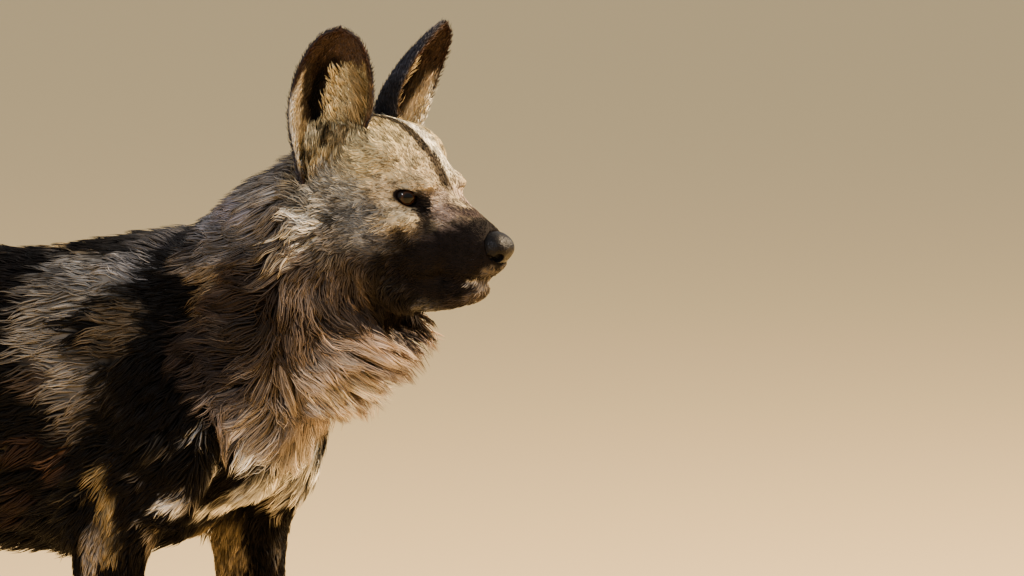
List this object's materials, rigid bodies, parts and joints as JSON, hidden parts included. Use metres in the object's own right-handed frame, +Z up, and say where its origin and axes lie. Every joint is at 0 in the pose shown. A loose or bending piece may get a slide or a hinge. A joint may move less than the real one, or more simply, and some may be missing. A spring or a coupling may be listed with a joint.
{
  "type": "african wild dog",
  "caption": "Still life-size African wild dog standing on four paws, head up and looking ahead, with large round ears, a shaggy ruff and a bushy tail.",
  "frame": {"origin": "on the floor, under the middle of the model's box", "axes": "+X ahead, the way the body faces; +Y to the animal's left; +Z up"},
  "size_m": [1.1087, 0.2426, 0.8946],
  "materials": {
    "black_coat": "short shaggy black fur with tan, brown, grey and white patches",
    "mottled_coat": "mottled brown, tan, grey and cream fur, long on the neck and short on the face",
    "ear_fur": "short dark fur with cream tufts inside the cup",
    "white_coat": "white to cream fur with black and tan spots",
    "nose_leather": "black pebbled nose leather and claws, slightly moist",
    "eye": "dark amber iris under a wet clear cornea"
  },
  "bodies": {
    "root": {"head": "mottled_coat", "nose": "nose_leather", "ear_left": "ear_fur", "ear_right": "ear_fur", "eye_left": "eye", "eye_right": "eye", "neck": "mottled_coat", "torso": "black_coat", "tail": "white_coat", "foreleg_left": "black_coat", "foreleg_right": "black_coat", "forepaw_left": "white_coat", "forepaw_right": "white_coat", "thigh_left": "black_coat", "thigh_right": "black_coat", "shank_left": "mottled_coat", "shank_right": "mottled_coat", "hindpaw_left": "white_coat", "hindpaw_right": "white_coat"}
  },
  "joints": []
}
